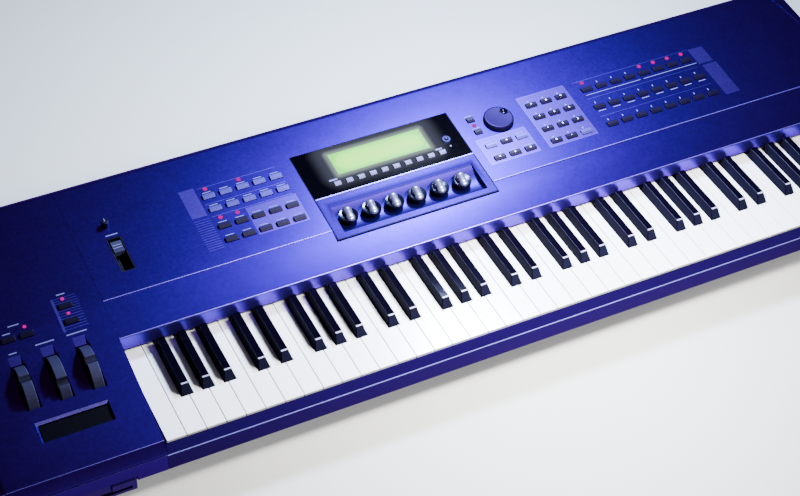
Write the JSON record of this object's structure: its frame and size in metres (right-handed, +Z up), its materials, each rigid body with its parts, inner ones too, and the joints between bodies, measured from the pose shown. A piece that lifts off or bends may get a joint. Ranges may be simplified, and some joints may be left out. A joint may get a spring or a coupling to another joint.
{
  "type": "synthesizer keyboard",
  "caption": "Long stage synthesizer keyboard with a sloping blue panel, lit display, rotary and push-button controls, a data dial, bend and modulation wheels and a disk drive.",
  "frame": {"origin": "on the table, under the middle of the case's bounding box", "axes": "+X towards the high notes, +Y away from the player, +Z up"},
  "size_m": [1.252, 0.395, 0.1257],
  "materials": {
    "case_paint": "satin deep blue-violet paint with a fine texture",
    "black_steel": "satin black powder coat",
    "foot_rubber": "matte black",
    "bare_steel": "plain zinc-plated sheet",
    "white_key": "semi-gloss, cool white",
    "black_key": "glossy black",
    "wheel_plastic": "dark grey, fine grain",
    "black_plastic": "black, satin",
    "drive_face": "satin blue, to match the case",
    "display_glass": "smoked black, glossy",
    "lcd_green": "lit yellow-green",
    "knob_blue": "satin metallic blue-grey",
    "grey_button": "mid grey-blue, satin",
    "dark_button": "dark grey, satin",
    "pale_button": "pale lavender grey, satin",
    "circuit_board": "green solder mask"
  },
  "bodies": {
    "case": {"left_block_cover": "case_paint", "right_end_cheek": "case_paint", "top_panel": "case_paint", "front_rail": "case_paint", "bottom_tray": "black_steel", "rear_panel": "black_steel", "foot_1": "foot_rubber", "foot_2": "foot_rubber", "foot_3": "foot_rubber", "foot_4": "foot_rubber", "key_chassis": "bare_steel", "wheel_bracket": "bare_steel", "ribbon_strip": "black_plastic", "floppy_drive": "drive_face", "display_window": "display_glass", "lcd_module": "lcd_green", "knob_tray": "case_paint", "slider_track": "black_plastic", "main_board": "circuit_board", "power_supply": "bare_steel", "socket_board": "black_plastic", "mains_inlet": "black_plastic"},
    "white_keys_1": {"white_keys_1": "white_key"},
    "white_keys_2": {"white_keys_2": "white_key"},
    "white_keys_3": {"white_keys_3": "white_key"},
    "white_keys_4": {"white_keys_4": "white_key"},
    "white_keys_5": {"white_keys_5": "white_key"},
    "white_keys_6": {"white_keys_6": "white_key"},
    "white_keys_7": {"white_keys_7": "white_key"},
    "black_keys_1": {"black_keys_1": "black_key"},
    "black_keys_2": {"black_keys_2": "black_key"},
    "black_keys_3": {"black_keys_3": "black_key"},
    "black_keys_4": {"black_keys_4": "black_key"},
    "black_keys_5": {"black_keys_5": "black_key"},
    "black_keys_6": {"black_keys_6": "black_key"},
    "black_keys_7": {"black_keys_7": "black_key"},
    "pitch_wheel": {"pitch_wheel": "wheel_plastic"},
    "mod_wheel_1": {"mod_wheel_1": "wheel_plastic"},
    "mod_wheel_2": {"mod_wheel_2": "wheel_plastic"},
    "tone_knob_1": {"tone_knob_1": "knob_blue"},
    "tone_knob_2": {"tone_knob_2": "knob_blue"},
    "tone_knob_3": {"tone_knob_3": "knob_blue"},
    "tone_knob_4": {"tone_knob_4": "knob_blue"},
    "tone_knob_5": {"tone_knob_5": "knob_blue"},
    "tone_knob_6": {"tone_knob_6": "knob_blue"},
    "data_dial": {"data_dial": "knob_blue"},
    "gain_knob": {"gain_knob": "black_plastic"},
    "contrast_knob": {"contrast_knob": "knob_blue"},
    "volume_slider": {"volume_slider": "grey_button"},
    "eject_button": {"eject_button": "drive_face"},
    "power_switch": {"power_switch": "black_plastic"},
    "mode_keys": {"mode_keys": "grey_button"},
    "effect_keys": {"effect_keys": "dark_button"},
    "soft_keys": {"soft_keys": "pale_button"},
    "dial_keys": {"dial_keys": "dark_button"},
    "cursor_keys": {"cursor_keys": "dark_button"},
    "keypad_keys": {"keypad_keys": "dark_button"},
    "program_keys": {"program_keys": "dark_button"},
    "scene_keys": {"scene_keys": "dark_button"},
    "octave_keys": {"octave_keys": "dark_button"}
  },
  "joints": [
    {"name": "white_press_1", "type": "hinge", "parent": "case", "child": "white_keys_1", "pos_m": [0, 0.0025, 0.068], "axis": [1, 0, 0], "range_deg": [0, 3], "stiffness_Nm_per_rad": 3, "springref_deg": -17.19},
    {"name": "white_press_2", "type": "hinge", "parent": "case", "child": "white_keys_2", "pos_m": [0, 0.0025, 0.068], "axis": [1, 0, 0], "range_deg": [0, 3], "stiffness_Nm_per_rad": 3, "springref_deg": -17.19},
    {"name": "white_press_3", "type": "hinge", "parent": "case", "child": "white_keys_3", "pos_m": [0, 0.0025, 0.068], "axis": [1, 0, 0], "range_deg": [0, 3], "stiffness_Nm_per_rad": 3, "springref_deg": -17.19},
    {"name": "white_press_4", "type": "hinge", "parent": "case", "child": "white_keys_4", "pos_m": [0, 0.0025, 0.068], "axis": [1, 0, 0], "range_deg": [0, 3], "stiffness_Nm_per_rad": 3, "springref_deg": -17.19},
    {"name": "white_press_5", "type": "hinge", "parent": "case", "child": "white_keys_5", "pos_m": [0, 0.0025, 0.068], "axis": [1, 0, 0], "range_deg": [0, 3], "stiffness_Nm_per_rad": 3, "springref_deg": -17.19},
    {"name": "white_press_6", "type": "hinge", "parent": "case", "child": "white_keys_6", "pos_m": [0, 0.0025, 0.068], "axis": [1, 0, 0], "range_deg": [0, 3], "stiffness_Nm_per_rad": 3, "springref_deg": -17.19},
    {"name": "white_press_7", "type": "hinge", "parent": "case", "child": "white_keys_7", "pos_m": [0, 0.0025, 0.068], "axis": [1, 0, 0], "range_deg": [0, 3], "stiffness_Nm_per_rad": 3, "springref_deg": -17.19},
    {"name": "black_press_1", "type": "hinge", "parent": "case", "child": "black_keys_1", "pos_m": [0, 0.0025, 0.068], "axis": [1, 0, 0], "range_deg": [0, 3.5], "stiffness_Nm_per_rad": 3, "springref_deg": -17.19},
    {"name": "black_press_2", "type": "hinge", "parent": "case", "child": "black_keys_2", "pos_m": [0, 0.0025, 0.068], "axis": [1, 0, 0], "range_deg": [0, 3.5], "stiffness_Nm_per_rad": 3, "springref_deg": -17.19},
    {"name": "black_press_3", "type": "hinge", "parent": "case", "child": "black_keys_3", "pos_m": [0, 0.0025, 0.068], "axis": [1, 0, 0], "range_deg": [0, 3.5], "stiffness_Nm_per_rad": 3, "springref_deg": -17.19},
    {"name": "black_press_4", "type": "hinge", "parent": "case", "child": "black_keys_4", "pos_m": [0, 0.0025, 0.068], "axis": [1, 0, 0], "range_deg": [0, 3.5], "stiffness_Nm_per_rad": 3, "springref_deg": -17.19},
    {"name": "black_press_5", "type": "hinge", "parent": "case", "child": "black_keys_5", "pos_m": [0, 0.0025, 0.068], "axis": [1, 0, 0], "range_deg": [0, 3.5], "stiffness_Nm_per_rad": 3, "springref_deg": -17.19},
    {"name": "black_press_6", "type": "hinge", "parent": "case", "child": "black_keys_6", "pos_m": [0, 0.0025, 0.068], "axis": [1, 0, 0], "range_deg": [0, 3.5], "stiffness_Nm_per_rad": 3, "springref_deg": -17.19},
    {"name": "black_press_7", "type": "hinge", "parent": "case", "child": "black_keys_7", "pos_m": [0, 0.0025, 0.068], "axis": [1, 0, 0], "range_deg": [0, 3.5], "stiffness_Nm_per_rad": 3, "springref_deg": -17.19},
    {"name": "pitch_wheel_turn", "type": "hinge", "parent": "case", "child": "pitch_wheel", "pos_m": [-0.5575, -0.06904, 0.0731], "axis": [1, 0, 0], "range_deg": [-28, 28], "stiffness_Nm_per_rad": 0.06},
    {"name": "mod_wheel_1_turn", "type": "hinge", "parent": "case", "child": "mod_wheel_1", "pos_m": [-0.52, -0.06904, 0.0731], "axis": [1, 0, 0], "range_deg": [-50, 0]},
    {"name": "mod_wheel_2_turn", "type": "hinge", "parent": "case", "child": "mod_wheel_2", "pos_m": [-0.4825, -0.06904, 0.0731], "axis": [1, 0, 0], "range_deg": [0, 50]},
    {"name": "tone_knob_1_turn", "type": "hinge", "parent": "case", "child": "tone_knob_1", "pos_m": [-0.1216, 0.0205, 0.10746], "axis": [0, -0.1085, 0.9941], "range_deg": [-150, 150]},
    {"name": "tone_knob_2_turn", "type": "hinge", "parent": "case", "child": "tone_knob_2", "pos_m": [-0.09044, 0.0205, 0.10746], "axis": [0, -0.1085, 0.9941], "range_deg": [-150, 150]},
    {"name": "tone_knob_3_turn", "type": "hinge", "parent": "case", "child": "tone_knob_3", "pos_m": [-0.05928, 0.0205, 0.10746], "axis": [0, -0.1085, 0.9941], "range_deg": [-150, 150]},
    {"name": "tone_knob_4_turn", "type": "hinge", "parent": "case", "child": "tone_knob_4", "pos_m": [-0.02812, 0.0205, 0.10746], "axis": [0, -0.1085, 0.9941], "range_deg": [-150, 150]},
    {"name": "tone_knob_5_turn", "type": "hinge", "parent": "case", "child": "tone_knob_5", "pos_m": [0.00304, 0.0205, 0.10746], "axis": [0, -0.1085, 0.9941], "range_deg": [-150, 150]},
    {"name": "tone_knob_6_turn", "type": "hinge", "parent": "case", "child": "tone_knob_6", "pos_m": [0.0342, 0.0205, 0.10746], "axis": [0, -0.1085, 0.9941], "range_deg": [-150, 150]},
    {"name": "data_dial_turn", "type": "hinge", "parent": "case", "child": "data_dial", "pos_m": [0.1272, 0.0978, 0.11528], "axis": [0, -0.099, 0.9951], "continuous": true},
    {"name": "gain_knob_turn", "type": "hinge", "parent": "case", "child": "gain_knob", "pos_m": [-0.3995, 0.1135, 0.11684], "axis": [0, -0.099, 0.9951], "range_deg": [-150, 150]},
    {"name": "contrast_knob_turn", "type": "hinge", "parent": "case", "child": "contrast_knob", "pos_m": [0.0482, 0.0915, 0.11465], "axis": [0, -0.099, 0.9951], "range_deg": [-140, 140]},
    {"name": "volume_slide", "type": "slide", "parent": "case", "child": "volume_slider", "axis": [0, -0.9951, -0.099], "range_m": [-0.0045, 0.0285]},
    {"name": "eject_press", "type": "slide", "parent": "case", "child": "eject_button", "axis": [0, 1, 0], "range_m": [0, 0.004], "stiffness_N_per_m": 300, "springref_m": -0.003},
    {"name": "power_rock", "type": "hinge", "parent": "case", "child": "power_switch", "pos_m": [0.491, 0.1905, 0.04], "axis": [1, 0, 0], "range_deg": [0, 12]},
    {"name": "mode_press", "type": "slide", "parent": "case", "child": "mode_keys", "axis": [0, 0.099, -0.9951], "range_m": [0, 0.001], "stiffness_N_per_m": 500, "springref_m": -0.002},
    {"name": "effect_press", "type": "slide", "parent": "case", "child": "effect_keys", "axis": [0, 0.099, -0.9951], "range_m": [0, 0.001], "stiffness_N_per_m": 500, "springref_m": -0.002},
    {"name": "soft_press", "type": "slide", "parent": "case", "child": "soft_keys", "axis": [0, 0.099, -0.9951], "range_m": [0, 0.001], "stiffness_N_per_m": 500, "springref_m": -0.002},
    {"name": "dial_press", "type": "slide", "parent": "case", "child": "dial_keys", "axis": [0, 0.099, -0.9951], "range_m": [0, 0.001], "stiffness_N_per_m": 500, "springref_m": -0.002},
    {"name": "cursor_press", "type": "slide", "parent": "case", "child": "cursor_keys", "axis": [0, 0.099, -0.9951], "range_m": [0, 0.001], "stiffness_N_per_m": 500, "springref_m": -0.002},
    {"name": "keypad_press", "type": "slide", "parent": "case", "child": "keypad_keys", "axis": [0, 0.099, -0.9951], "range_m": [0, 0.001], "stiffness_N_per_m": 500, "springref_m": -0.002},
    {"name": "program_press", "type": "slide", "parent": "case", "child": "program_keys", "axis": [0, 0.099, -0.9951], "range_m": [0, 0.001], "stiffness_N_per_m": 500, "springref_m": -0.002},
    {"name": "scene_press", "type": "slide", "parent": "case", "child": "scene_keys", "axis": [0, 0.1464, -0.9892], "range_m": [0, 0.001], "stiffness_N_per_m": 500, "springref_m": -0.002},
    {"name": "octave_press", "type": "slide", "parent": "case", "child": "octave_keys", "axis": [0, 0.1815, -0.9834], "range_m": [0, 0.001], "stiffness_N_per_m": 500, "springref_m": -0.002}
  ]
}
